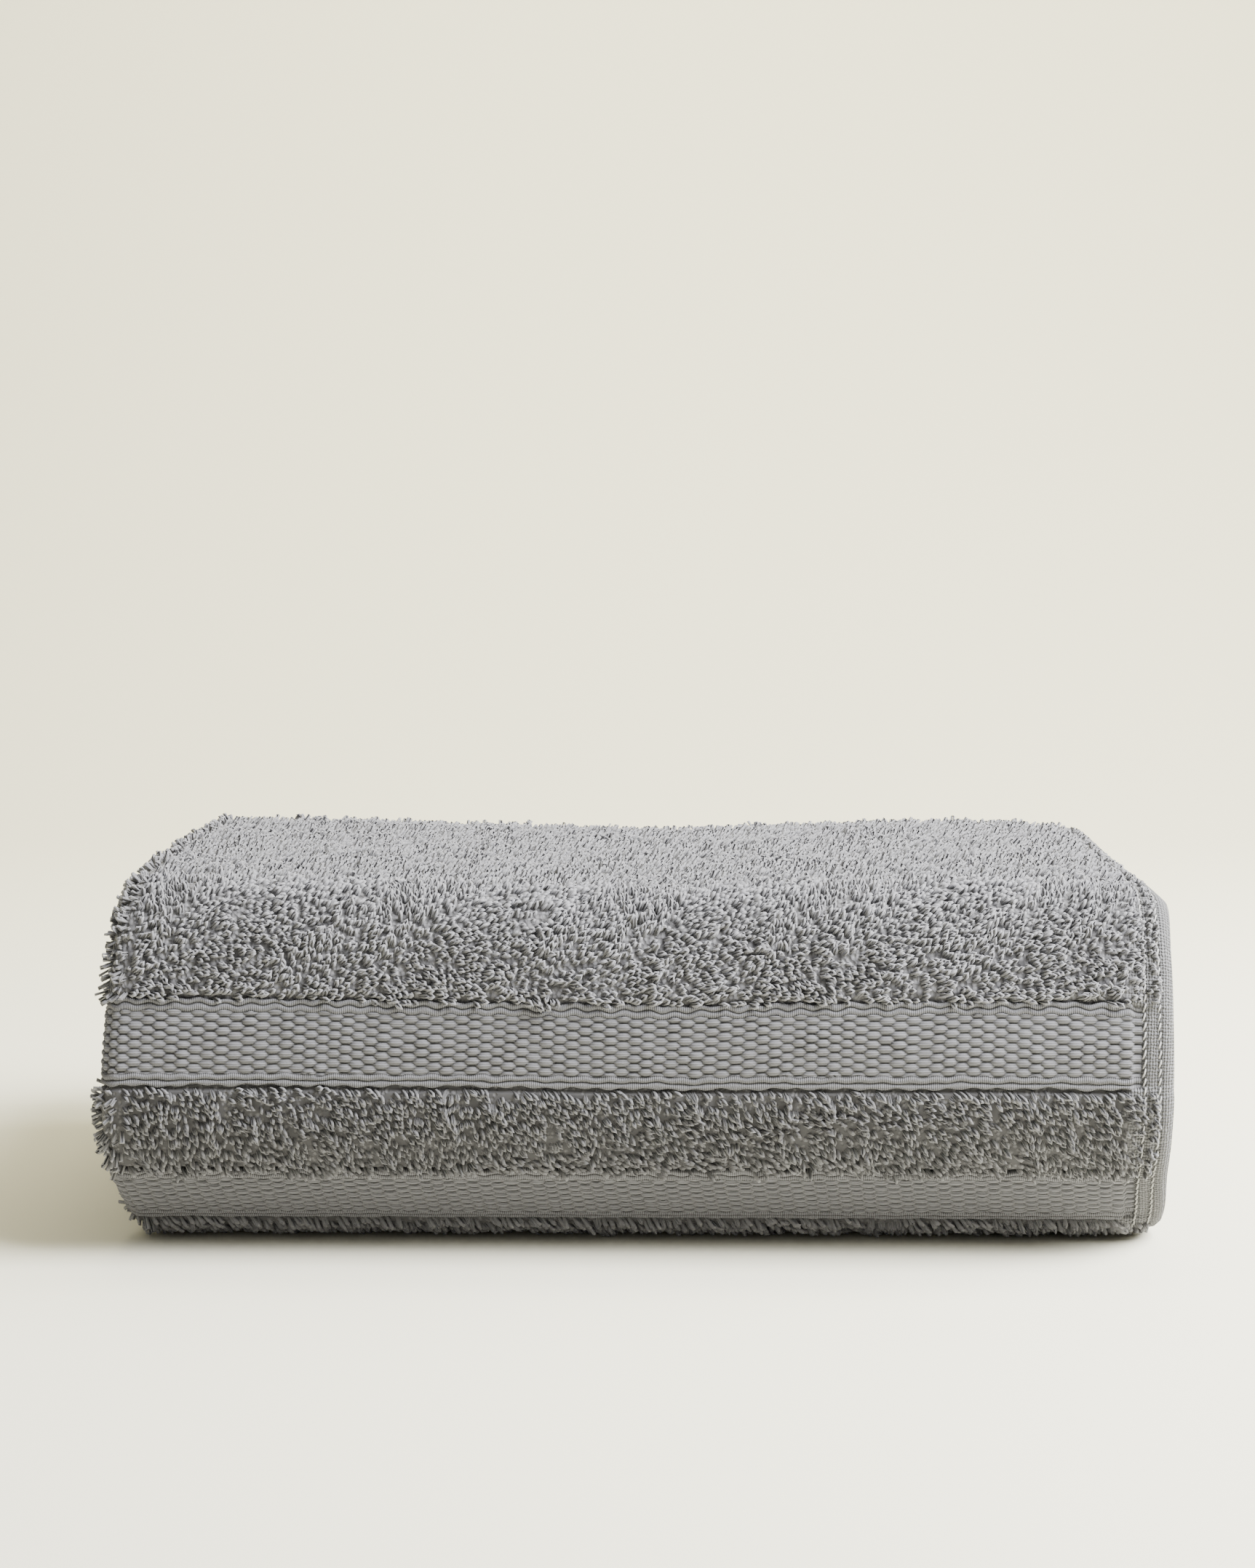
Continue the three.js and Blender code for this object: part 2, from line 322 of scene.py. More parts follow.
# How the pile of layers settles: rise of the top along the width, and the fall at its edges
RISE_PLACES = np.array([-0.176, -0.120, -0.070, 0.010, 0.055, 0.110, 0.140, 0.176])
RISES = np.array([0.0030, 0.0025, 0.0010, -0.0010, 0.0008, 0.0022, 0.0016, -0.0006])
FRONT_FALL, FRONT_FALL_REACH = 0.0050, 0.080
BACK_FALL, BACK_FALL_REACH = 0.0020, 0.050

# How far the layers sway sideways and inwards, and the lengths along a layer and up the stack by
# which that sway turns
SWAY_X, SWAY_X_ALONG, SWAY_X_UP = 0.0012, 0.045, 0.024
SWAY_Y, SWAY_Y_ALONG, SWAY_Y_UP = 0.0018, 0.060, 0.022


def ease(share):
    """A smooth step from 0 to 1: the share squared times three less twice the share."""
    return share * share * (3 - 2 * share)


def ramp(value, start, end):
    """The smooth step of how far a value has come from start to end."""
    return ease(np.clip((value - start) / (end - start), 0.0, 1.0))


def lay_path():
    """A table of the stretches. Each starts where the last one ended. A turn swings the heading
    about a centre that lies one radius to the side, so the heading grows evenly with distance."""
    rows = []
    start, y, z, heading = 0.0, BACK - END_HEM_SETBACK, HALF, math.pi
    for degrees, size, left, right, curl in STRETCHES.values():
        length = size * math.radians(abs(degrees)) if degrees else size
        bend = math.radians(degrees) / length
        rows.append((start, length, y, z, heading, bend, left, right, curl))
        after = heading + bend * length
        if degrees:
            y += (math.sin(after) - math.sin(heading)) / bend
            z -= (math.cos(after) - math.cos(heading)) / bend
        else:
            y += length * math.cos(heading)
            z += length * math.sin(heading)
        start, heading = start + length, after
    return np.array(rows).T


path = lay_path()
path_starts = path[0]
path_end = path[0, -1] + path[1, -1]
stretch_numbers = {name: number for number, name in enumerate(STRETCHES)}


def span(name):
    """Distances along the path at which a stretch starts and ends."""
    number = stretch_numbers[name]
    return path[0, number], path[0, number] + path[1, number]


def path_at(s):
    """Place, heading, edges, curl and band depth of the doubled cloth's middle line at distances
    s. A turn's place is its start plus the change of the heading's sine and cosine times its
    radius, and the edges and the curl are eased from each stretch's value to the next one's."""
    number = np.clip(np.searchsorted(path_starts, s, side="right") - 1, 0, len(path_starts) - 1)
    following = np.minimum(number + 1, len(path_starts) - 1)
    start, length, y, z, heading, bend = (row[number] for row in path[:6])
    along = s - start
    turned = heading + bend * along
    straight = bend == 0
    radius = 1 / np.where(straight, 1.0, bend)
    y = y + np.where(straight, along * np.cos(heading), radius * (np.sin(turned) - np.sin(heading)))
    z = z + np.where(straight, along * np.sin(heading), radius * (np.cos(heading) - np.cos(turned)))
    share = ease(np.clip(along / length, 0.0, 1.0))
    left, right, curl = ((1 - share) * row[number] + share * row[following] for row in path[6:])
    depth = np.zeros(np.shape(s))
    for name in BANDS:
        first, last = span(name)
        depth += BAND_RECESS * ramp(np.minimum(s - first, last - s), 0.0, BAND_EDGE)
    place = {"y": y, "z": z, "heading": turned}
    return place | {"left": left, "right": right, "curl": curl, "depth": depth}


def hem_thickness(inset):
    """Thickness of a ply at a distance from a hem's edge: a rounded tip, an even hem, then a
    smooth step up to the pile."""
    tip = HEM_TIP + (HEM_THICKNESS - HEM_TIP) * np.clip(inset / HEM_ROUND, 0.0, 1.0)
    return tip + (PLY - HEM_THICKNESS) * ramp(inset, HEM_WIDTH, HEM_WIDTH + HEM_STEP)


def top_rise(x, y):
    """Rise of the settled top: eased steps between the places across the width, less the square
    of how near the point is to the front or the back edge."""
    number = np.clip(np.searchsorted(RISE_PLACES, x, side="right") - 1, 0, len(RISES) - 2)
    share = ramp(x, RISE_PLACES[number], RISE_PLACES[number + 1])
    rise = (1 - share) * RISES[number] + share * RISES[number + 1]
    front = np.maximum(0.0, 1 - (y - FRONT) / FRONT_FALL_REACH)
    back = np.maximum(0.0, 1 - (BACK - y) / BACK_FALL_REACH)
    return rise - FRONT_FALL * front**2 - BACK_FALL * back**2


def in_room(row, x, n):
    """Places in the room of points at x across the cloth and n out from its middle line. Layers
    sway a little and settle the more the higher they lie."""
    y = row["y"] - n * np.sin(row["heading"])
    z = row["z"] + n * np.cos(row["heading"])
    height = z / STACK_HEIGHT
    sideways = SWAY_X * np.sin(y / SWAY_X_ALONG + z / SWAY_X_UP)
    inwards = SWAY_Y * np.sin(x / SWAY_Y_ALONG + z / SWAY_Y_UP)
    rise = top_rise(x, y) * height**2
    return np.stack([x + sideways * height, y + inwards * height, z + rise], axis=-1)


def edge_of(row, side):
    """Where the side hem's edge is: the under ply, side -1, stops short of the upper one."""
    return WIDTH / 2 - row["right"] - (UNDER_PLY_SHORT if side < 0 else 0.0)


def hem_drop(row, x, edge):
    """How far the curled side hem of the upper ply has bent down at x."""
    wide = HEM_WIDTH + HEM_STEP
    share = np.clip((x - edge + wide) / wide, 0.0, 1.0)
    return row["curl"] * share**2


def outside(s, w, lift):
    """Places on the outer face of the doubled cloth. s runs along the cloth, and w runs from the
    left fold towards the side hem: over 0 on the upper ply, below minus half a circle on the
    under ply, and round the fold in between. lift is the height above the loops' tips."""
    row = path_at(s)
    end_ply = hem_thickness(np.minimum(s, path_end - s))
    centre = -WIDTH / 2 + row["left"] + HALF
    arc = np.clip(-w / HALF, 0.0, math.pi)
    upper = w >= 0
    edge = np.where(upper, edge_of(row, 1), edge_of(row, -1))
    x_flat = np.minimum(np.where(upper, centre + w, centre - w - math.pi * HALF), edge)
    ply = np.minimum(end_ply, hem_thickness(np.maximum(edge - x_flat, 0.0)))
    n_flat = (PLY + PLY_GAP) / 2 + ply / 2 - row["depth"] + lift
    n_flat = np.where(upper, n_flat - hem_drop(row, x_flat, edge), -n_flat)
    radius = HALF + lift - row["depth"]
    flat = (w >= 0) | (w < -math.pi * HALF)
    x = np.where(flat, x_flat, centre - radius * np.sin(arc))
    n = np.where(flat, n_flat, (radius + (end_ply - PLY) / 2) * np.cos(arc))
    return in_room(row, x, n)


# The cloth is set in the frame by its outer box, as the solid is. The outer face is sampled for
# that, from round the left fold to the side hem's edge.
BOX_ROWS, BOX_COLUMNS = 1500, 250
BOX_W = (-0.03, 0.345)
box_rows = np.linspace(0.0, path_end, BOX_ROWS)
box_s, box_w = np.meshgrid(box_rows, np.linspace(*BOX_W, BOX_COLUMNS))
box_points = outside(box_s, box_w, 0.0).reshape(-1, 3)
low, high = box_points.min(axis=0), box_points.max(axis=0)
frame_low, frame_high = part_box("towel")
to_frame = (np.array(frame_low) + np.array(frame_high) - low - high) / 2
to_frame[2] = 0.0

# Loops show from a little under the front to the upper back fold, on the lower back fold and on
# the left folds. These are the lengths over which their height fades out at the ends of those
# stretches, and the insets from a hem's edge where it starts and is whole.
FOOT_SHOWN, FOOT_FADE = 0.022, 0.012
FADE_OUTSIDE, FADE_INSIDE = 0.006, 0.004
LEFT_WHOLE, LEFT_END = 0.003, 0.010
END_HEM_FADE = 0.004
PILE_FIRST, PILE_WHOLE = HEM_WIDTH - 0.0005, HEM_WIDTH + 0.003
foot_start = span("bottom layer")[1] - FOOT_SHOWN
top_end = span("upper back fold")[1]


def inset_of(row, w):
    """Distance in from the upper ply's side hem edge at the place w, or w at that distance: the
    two always add up to the width of the flat part."""
    return edge_of(row, 1) + WIDTH / 2 - row["left"] - HALF - w


def seam_dips(inset):
    """How near a point is to a seam, as a sum of bell curves over the two rows."""
    return sum(np.exp(-(((inset - place) / SEAM_DIP_WIDTH) ** 2)) for place in SEAM_ROWS)


def hem_lift(inset, border):
    """How far the side hem stands out of the border's bed: level with the pile at its edge, a
    little lower at the inner seam, and not at all where the woven border starts."""
    recess = BAND_RECESS - HEM_RECESS * ramp(inset, 0.0, SEAM_ROWS[1])
    return border * recess * ramp(-inset, -HEM_LIFT_END, -SEAM_ROWS[1])


def fade_in(s, start):
    """A smooth step from 0 to 1 round a stretch's start."""
    return ramp(s, start - FADE_OUTSIDE, start + FADE_INSIDE)


def pile_share(s, w, hem_start=PILE_FIRST, hem_end=PILE_WHOLE):
    """How much of the loops' height stands on the outer face there: all of it round the front,
    on the top, on the back folds and on the left folds, and none on faces that lie together. It
    fades out towards the side hem between the two insets."""
    lower_fold = span("lower back fold")
    shown = ramp(s, foot_start - FOOT_FADE, foot_start) * fade_in(-s, -top_end)
    upper = np.maximum(shown, fade_in(s, lower_fold[0]) * fade_in(-s, -lower_fold[1]))
    upper = upper * ramp(inset_of(path_at(s), w), hem_start, hem_end)
    ends = np.minimum(s, path_end - s)
    left = ramp(w, -math.pi * HALF - LEFT_END, -math.pi * HALF - LEFT_WHOLE)
    left = left * ramp(-w, -LEFT_END, -LEFT_WHOLE)
    left = left * ramp(ends, HEM_WIDTH, HEM_WIDTH + END_HEM_FADE)
    return np.where(w < 0, left, np.maximum(upper, left))


def beside_bands(s):
    """1 inside the bands, falling to 0 a little outside them: there the ground dips under the
    woven border's edge."""
    inside = np.maximum(*(np.minimum(s - first, last - s) for first, last in map(span, BANDS)))
    return ramp(inside, -GROOVE_REACH, -GROOVE_EDGE)


# How many rows of points lie in a layer, in a fold and in the fine and the coarse stretches round
# the front, and how many points lie across the flat part, round the left fold and between plies
FINE_STRETCHES = BANDS + ("top corner", "strip")
COARSE_STRETCHES = ("bottom corner", "above the band", "upright")
LAYER_ROWS, FOLD_ROWS, FINE_ROWS, COARSE_ROWS = 19, 17, 11, 7
FLAT_COLUMNS, FOLD_COLUMNS, INNER_COLUMNS = 25, 15, 12
SMALLEST_STEP = 0.0003


def cloth_rows():
    """Distances along the path of the rows of points: even steps, finer in the turns, and the
    edges of the bands and of the end hems."""
    rows = [np.linspace(*span(name), LAYER_ROWS) for name in STRETCHES if name.endswith("layer")]
    rows += [np.linspace(*span(name), FOLD_ROWS) for name in STRETCHES if name.endswith("fold")]
    rows += [np.linspace(*span(name), FINE_ROWS) for name in FINE_STRETCHES]
    rows += [np.linspace(*span(name), COARSE_ROWS) for name in COARSE_STRETCHES]
    for name in BANDS:
        first, last = span(name)
        step = np.array([-0.0018, -0.0012, -0.0006, 0.0, 0.0005, 0.0010, 0.0015, 0.0020])
        rows += [first + step, last - step]
    hem = np.array([0.0, 0.0007, HEM_ROUND, HEM_WIDTH, HEM_WIDTH + HEM_STEP, HEM_WIDTH + 0.005])
    rows += [hem, path_end - hem]
    together = np.unique(np.round(np.concatenate(rows), 6))
    return together[np.concatenate([[True], np.diff(together) > SMALLEST_STEP])]


# Lines of points in from a side hem's edge, on the outer face and between the plies
OUTER_LINES = np.array(
    [0.0, 0.0005, 0.0012, 0.002, 0.0035, 0.0043, 0.0050, 0.0057, 0.0075, 0.0093]
    + [0.0100, 0.0107, 0.0122, 0.013, 0.0137, 0.0145, 0.017, 0.021]
)
INNER_LINES = np.array([0.0, 0.001, 0.002, 0.007, 0.013, 0.0145, 0.018])


def cloth_loop(s):
    """For each row one closed loop of points round the doubled cloth's section: the outer face
    from the upper side hem round the left fold to the under side hem, and back between the
    plies. Gives places, and w, the pile's share, the seams' grooves and whether a row lies below
    the upper band, by which the material paints shade between the loops, in the grooves and
    below the band."""
    row = path_at(s)
    centre = -WIDTH / 2 + row["left"] + HALF
    flat = np.linspace(0.0, 1.0, FLAT_COLUMNS)[1:]
    arc = -HALF * math.pi * np.linspace(0.0, 1.0, FOLD_COLUMNS)
    places = []
    for side in (1, -1):
        edge = edge_of(row, side)[:, None] - centre[:, None]
        inner = edge - OUTER_LINES[-1]
        across = np.concatenate([edge - OUTER_LINES, inner * (1 - flat)], axis=1)
        w = across if side > 0 else (-across - math.pi * HALF)[:, ::-1]
        if side > 0:
            w = np.concatenate([w, np.repeat(arc[None, 1:], len(s), axis=0)], axis=1)
        places.append(w)
    w = np.concatenate(places, axis=1)
    s_outer = np.repeat(s[:, None], w.shape[1], axis=1)
    share = pile_share(s_outer, w)
    row_outer = path_at(s_outer)
    border = np.clip(row_outer["depth"] / BAND_RECESS, 0.0, 1.0)
    inset = inset_of(row_outer, w)
    dips = seam_dips(inset) * (w > 0)
    depth = GROUND_DEPTH + (GROOVE_DEPTH - GROUND_DEPTH) * beside_bands(s_outer)
    lift = -depth * share * (1 - border) - SEAM_DIP * dips + hem_lift(inset, border)
    under = ramp(inset, SEAM_ROWS[1], SEAM_ROWS[1] + UNDER_BORDER_FADE)
    lift = lift - UNDER_BORDER * border * under
    outer = outside(s_outer, w, lift)
    inner_points, inner_w = [], []
    ends = hem_thickness(np.minimum(s, path_end - s))[:, None]
    for side in (-1, 1):
        edge = edge_of(row, side)[:, None]
        share = np.linspace(0.0, 1.0, INNER_COLUMNS)[1:]
        inner = edge - INNER_LINES[-1]
        x = np.concatenate([edge - INNER_LINES, inner + share * (centre[:, None] - inner)], axis=1)
        ply = np.minimum(ends, hem_thickness(edge - x))
        n = side * ((PLY + PLY_GAP) / 2 - ply / 2)
        wide = {key: np.repeat(value[:, None], x.shape[1], axis=1) for key, value in row.items()}
        if side > 0:
            n = n - hem_drop(wide, x, edge)
            x, n = x[:, ::-1], n[:, ::-1]
        inner_points.append(in_room(wide, x, n))
        inner_w.append(x - centre[:, None])
    fold_x = centre[:, None] - PLY_GAP / 2
    wide = {key: value[:, None] for key, value in row.items()}
    inside = in_room(wide, fold_x, np.zeros_like(fold_x))
    points = np.concatenate([outer, inner_points[0], inside, inner_points[1]], axis=1)
    places = np.concatenate([w, inner_w[0], np.zeros_like(fold_x), inner_w[1]], axis=1)
    hidden = np.zeros((len(s), points.shape[1] - w.shape[1]))
    piled = np.concatenate([pile_share(s_outer, w) * (1 - border), hidden], axis=1)
    grooves = np.concatenate([dips, hidden], axis=1)
    # Rows below the upper band, where the material paints the ground between the loops darker as
    # shade
    below = ramp(-s, -span("upper band")[0] - 0.001, -span("upper band")[0])
    below = np.repeat(below[:, None], points.shape[1], axis=1)
    return points + to_frame, places, piled, grooves, below


cloth_s = cloth_rows()
cloth_points, cloth_w, cloth_pile, cloth_grooves, cloth_painted_shade_below = cloth_loop(cloth_s)
loop_size = cloth_points.shape[1]
corner = np.arange((len(cloth_s) - 1) * loop_size)
beside = corner // loop_size * loop_size + (corner % loop_size + 1) % loop_size
cloth_quads = np.stack([corner, beside, beside + loop_size, corner + loop_size], axis=1)
first_end = np.arange(loop_size)[None, ::-1]
last_end = np.arange(loop_size)[None, :] + (len(cloth_s) - 1) * loop_size
cloth_uv = np.stack([cloth_w.ravel(), np.repeat(cloth_s, loop_size)], axis=1)

# Lines of the hem's weave, as the wave texture counts them, and how uneven they are
HEM_RIBS, HEM_RIBS_UNEVEN = 330.0, 2.6
HEM_PICKS, HEM_PICKS_UNEVEN = 300.0, 3.6
# Painted shade: the ground between the loops is coloured as deeper pile in shade, dark in the gaps
# and lighter on the heads of deeper loops
PILE_GAP_PAINTED_SHADE = (0.060, 0.059, 0.063, 1.0)
PAINTED_SHADED_HEADS = (0.172, 0.171, 0.181, 1.0)
COTTON_HEM = (0.188, 0.188, 0.201, 1.0)
COTTON_HEM_SHADE = (0.055, 0.055, 0.057, 1.0)
PACKED_PER_METRE = 610.0
# Lightness of the painted heads, how fast it falls, and the painted shade below the upper band
HEAD_LIGHT, HEAD_FALL, BELOW_BAND_PAINTED_SHADE = 1.15, 1.4, 0.45
# Lightness of the hem's weave lines, and the painted shade in the seams' grooves
HEM_LINE_LIGHT, HEM_GROOVE_PAINTED_SHADE = 1.1, 0.8


def weave_lines(uv, direction, lines, uneven, detail=1.0):
    """Even soft lines across the cloth's UV places in that direction, from 0 to 1, bent a little
    by noise."""
    settings = {"wave_type": "BANDS", "bands_direction": direction}
    sockets = {"Vector": uv, "Scale": lines, "Distortion": uneven}
    sockets |= {"Detail": detail, "Detail Scale": detail + 1}
    return uv.node("ShaderNodeTexWave", settings, sockets, WAVE_HEIGHT)


ground, tone = new_material("terry_ground", roughness=0.95, sheen=0.15)
piled = tone.carried("piled")
groove = tone.carried("groove")
below = tone.carried("below")
uv = tone.node("ShaderNodeUVMap", {"uv_map": "cloth"})
ribs = weave_lines(uv, "X", HEM_RIBS, HEM_RIBS_UNEVEN)
picks = weave_lines(uv, "Y", HEM_PICKS, HEM_PICKS_UNEVEN)
packed = tone.node("ShaderNodeTexVoronoi", None, {"Vector": uv, "Scale": PACKED_PER_METRE})
weave = ribs * 0.5 + picks * 0.5
# Painted shade: voronoi cells as heads of deeper loops in shade, lightest at their middles and
# darker below the upper band
painted_shaded_heads = (HEAD_LIGHT - packed * HEAD_FALL - below * BELOW_BAND_PAINTED_SHADE).clipped()
# The hem's weave lines, with painted shade in the seams' grooves
hem_lit = (weave * HEM_LINE_LIGHT - groove * HEM_GROOVE_PAINTED_SHADE).clipped()
hem_colour = hem_lit.blend(COTTON_HEM_SHADE, COTTON_HEM)
# The pile's share picks between the hem's weave and the painted shade of the deeper pile
ground_colour = piled.blend(hem_colour, painted_shaded_heads.blend(PILE_GAP_PAINTED_SHADE, PAINTED_SHADED_HEADS))
relief = piled * (painted_shaded_heads - weave) + weave
dress(ground, ground_colour, relief, bump=1.0, reach=0.0009)

towel = new_piece(
    "towel_cloth",
    cloth_points.reshape(-1, 3),
    [cloth_quads, first_end, last_end],
    ground,
    {"piled": cloth_pile, "groove": cloth_grooves, "below": cloth_painted_shade_below},
    cloth_uv,
)
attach(towel, "root")
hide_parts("towel")


# Woven border
# Two flat bands of the same cloth, woven without loops: heavy weft floats over a ground of fine
# cords make staggered rows of pointed cells, between two corded ribs at each edge. They run on
# round the left fold, and end at the inner seam of the side hem.
CELL_PITCH = 0.0081
CELL_HALF_LENGTH = 0.310
CELL_HALF_HEIGHT = 0.430
CELL_ENDS = 1.5
CELL_SIDES = 2.3
CELL_RISE = 0.00090
# A slot is painted shade under a cell, between it and the next cell of its column
SLOT_HALF_LENGTH = 0.225
SLOT_HALF_HEIGHT = 0.130
RIB_PITCH = 0.0021
RIB_COUNT = 2
RIB_RISE = 0.00080
RIB_ROUNDNESS = 0.7
HALF_ROWS = 13
RIB_ROWS = 13
CELL_ROWS = 44
BORDER_STEP_ACROSS = 0.00078
BORDER_TUCK = 0.0013
BORDER_UNDER_FOLD = 0.012

# How uneven the weave is: how far its cells drift across and along the band and over what length,
# how far its edge waves, and how much the cells' heights differ
DRIFT_ACROSS, DRIFT_ALONG, DRIFT_SIZE = 0.0006, 0.00030, 0.045
RIB_WAVE, RIB_WAVE_UNEVEN, RIB_WAVE_SIZE = 0.00032, 0.8, 0.016
CELL_UNEVEN, CELL_UNEVEN_SIZE = 0.25, 0.011

# Lines of the border's weave, as the wave texture counts them, and how uneven they are
STRAND_LINES, STRANDS_UNEVEN = 420.0, 1.2
CORD_LINES, CORDS_UNEVEN = 500.0, 0.8
YARN_FIBRE_SCALE = 2600.0
# Strength of the painted shade in the slots, at the cells' edges and between the ribs' cords, the
# width of the painted line between ribs, and how much lighter that line is beside the cells
SLOT_PAINTED_SHADE, CELL_EDGE_PAINTED_SHADE, CORD_GAP_PAINTED_SHADE = 0.9, 0.5, 0.45
RIB_GAP_WIDTH, INNER_LINE_LIGHTER = 1.6, 0.3
YARN = (0.196, 0.196, 0.213, 1.0)
YARN_SHADE = (0.092, 0.092, 0.100, 1.0)
# Colour of the painted shade in the weave's slots, edges and gaps
PAINTED_GAP_SHADE = (0.020, 0.020, 0.021, 1.0)


def soft_waves(s, w, size, seed):
    """A smooth uneven field from about -1 to 1, with its slopes along s and w: the sum of twelve
    sine waves of about that length in random directions."""
    draw = np.random.default_rng(seed)
    field, slope_s, slope_w = 0.0, 0.0, 0.0
    for number in range(12):
        way = draw.uniform(0.0, 2 * math.pi)
        rate = 2 * math.pi / (size * draw.uniform(0.7, 1.6))
        phase = rate * (math.sin(way) * s + math.cos(way) * w) + draw.uniform(0.0, 2 * math.pi)
        field = field + np.sin(phase) / 3.5
        slope_s = slope_s + np.cos(phase) * math.sin(way) / 3.5
        slope_w = slope_w + np.cos(phase) * math.cos(way) / 3.5
    return field, slope_s, slope_w


def places_on_weave(v, w, height, seed):
    """Where a band's points lie on its weave, v up from the lower edge: across and up it in
    pitches of the cells, a little uneven, and in from the nearer edge in pitches of the ribs,
    whose line waves with the cells."""
    margin = RIB_COUNT * RIB_PITCH
    pitch = (height - 2 * margin) / (HALF_ROWS / 2)
    sway, _, slope_w = soft_waves(v, w, DRIFT_SIZE, seed)
    across = (w + DRIFT_ACROSS * slope_w) / CELL_PITCH
    along = (v - margin + DRIFT_ALONG * sway) / pitch
    near = np.minimum(v, height - v)
    uneven = soft_waves(v, w, RIB_WAVE_SIZE, seed + 2)[0]
    wave = np.cos(2 * math.pi * across) + RIB_WAVE_UNEVEN * uneven
    near = near + RIB_WAVE * wave * ramp(near, 0.0, RIB_PITCH)
    return across, along, near / RIB_PITCH


def cell(across, along):
    """Height, from 0 to 1, of the nearest cell on one lattice of cells: the root of what is left
    of 1 after a power of the distance along the float and one of the distance across it."""
    along_float = np.abs(across - np.round(across)) / CELL_HALF_LENGTH
    across_float = np.abs(along - np.round(along)) / CELL_HALF_HEIGHT
    return np.sqrt(np.clip(1 - along_float**CELL_SIDES - across_float**CELL_ENDS, 0.0, 1.0))


def oval(across, along, half_length, half_height):
    """In shader maths, what is left of 1 after the same powers of the distances from the nearest
    point of a lattice, in half lengths and half heights: over 0 inside a pointed oval there."""
    along_float = (across - across.of("ROUND")).of("ABSOLUTE") * (1 / half_length)
    across_float = (along - along.of("ROUND")).of("ABSOLUTE") * (1 / half_height)
    return (1 - along_float**CELL_SIDES - across_float**CELL_ENDS).clipped()


def woven_border(name, band, seed):
    """One band as a closed slab: the relief on a grid whose rim is tucked under, with a back
    that joins its two long edges. Cells are domes on two staggered lattices, and ribs are
    rounded ridges."""
    first, last = span(band)
    margin = RIB_COUNT * RIB_PITCH
    low_ribs = np.linspace(first, first + margin, RIB_ROWS)
    cells = np.linspace(first + margin, last - margin, CELL_ROWS)[1:-1]
    s = np.concatenate([low_ribs, cells, np.linspace(last - margin, last, RIB_ROWS)])
    middle = path_at(np.array([(first + last) / 2]))
    flat_end = float(inset_of(middle, 0.0)[0]) - SEAM_ROWS[1]
    flat_start = -math.pi * HALF - BORDER_UNDER_FOLD
    w = np.linspace(flat_start, flat_end, int((flat_end - flat_start) / BORDER_STEP_ACROSS))
    s_grid, w_grid = np.meshgrid(s, w, indexing="ij")
    across, along, near = places_on_weave(s_grid - first, w_grid, last - first, seed)
    sway = soft_waves(s_grid, w_grid, RIB_WAVE_SIZE, seed + 3)[0]
    shift = RIB_WAVE * (np.cos(2 * math.pi * across) + sway)
    s_grid = s_grid + shift * (1 - ramp(near, 0.0, RIB_COUNT))
    dome = np.maximum(cell(across, along - 0.5), cell(across + 0.5, along))
    uneven = 1 + CELL_UNEVEN * soft_waves(s_grid, w_grid, CELL_UNEVEN_SIZE, seed + 1)[0]
    rib = np.abs(np.sin(math.pi * near)) ** RIB_ROUNDNESS
    rise = np.where(near < RIB_COUNT, RIB_RISE * rib, CELL_RISE * dome * uneven)
    rim = np.zeros(s_grid.shape, dtype=bool)
    rim[[0, -1], :] = True
    rim[:, [0, -1]] = True
    lift = path_at(s_grid)["depth"] - BAND_RECESS + np.where(rim, -BORDER_TUCK, rise)
    points = outside(s_grid, w_grid, lift) + to_frame
    rows, columns = s_grid.shape
    low_edge = np.arange(columns)
    high_edge = low_edge + (rows - 1) * columns
    back = np.stack([low_edge[:-1], high_edge[:-1], high_edge[1:], low_edge[1:]], axis=1)
    left_end = (np.arange(rows) * columns)[None, ::-1]
    right_end = (np.arange(rows) * columns + columns - 1)[None, :]
    piece = new_piece(
        name,
        points.reshape(-1, 3),
        [grid_faces(rows, columns), back, left_end, right_end],
        border_weave,
        {"across": across, "along": along, "near": near},
        np.stack([w_grid.ravel(), s_grid.ravel()], axis=1),
    )
    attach(piece, "root")
    return piece


border_weave, tone = new_material("border_weave", roughness=0.9, sheen=0.1)
across = tone.carried("across")
along = tone.carried("along")
near = tone.carried("near")
uv = tone.node("ShaderNodeUVMap", {"uv_map": "cloth"})
strands = weave_lines(uv, "Y", STRAND_LINES, STRANDS_UNEVEN, detail=2.0)
cords = weave_lines(uv, "X", CORD_LINES, CORDS_UNEVEN)
fibre = uv.noise(YARN_FIBRE_SCALE)
on_rib = near.math("LESS_THAN", near, RIB_COUNT)
dome = oval(across, along - 0.5, CELL_HALF_LENGTH, CELL_HALF_HEIGHT)
dome = (dome + oval(across + 0.5, along, CELL_HALF_LENGTH, CELL_HALF_HEIGHT)).clipped().of("SQRT")
# Painted shade in the slots under the cells
slot = oval(across, along, SLOT_HALF_LENGTH, SLOT_HALF_HEIGHT)
slot = slot + oval(across + 0.5, along - 0.5, SLOT_HALF_LENGTH, SLOT_HALF_HEIGHT)
rib = (near * math.pi).of("SINE").of("ABSOLUTE")
inner_half = near.math("GREATER_THAN", near, RIB_COUNT - 0.5)
# Painted shade in the lines between the ribs, lighter beside the cells
rib_gap_shade = (1 - rib * RIB_GAP_WIDTH).clipped() * (1 - inner_half * INNER_LINE_LIGHTER)
body = on_rib * (rib**0.5 - dome) + dome
lines = on_rib * (cords - strands) + strands
shade = (lines * (0.65 + on_rib * 0.45) + fibre * 0.35 + 0.05).clipped()
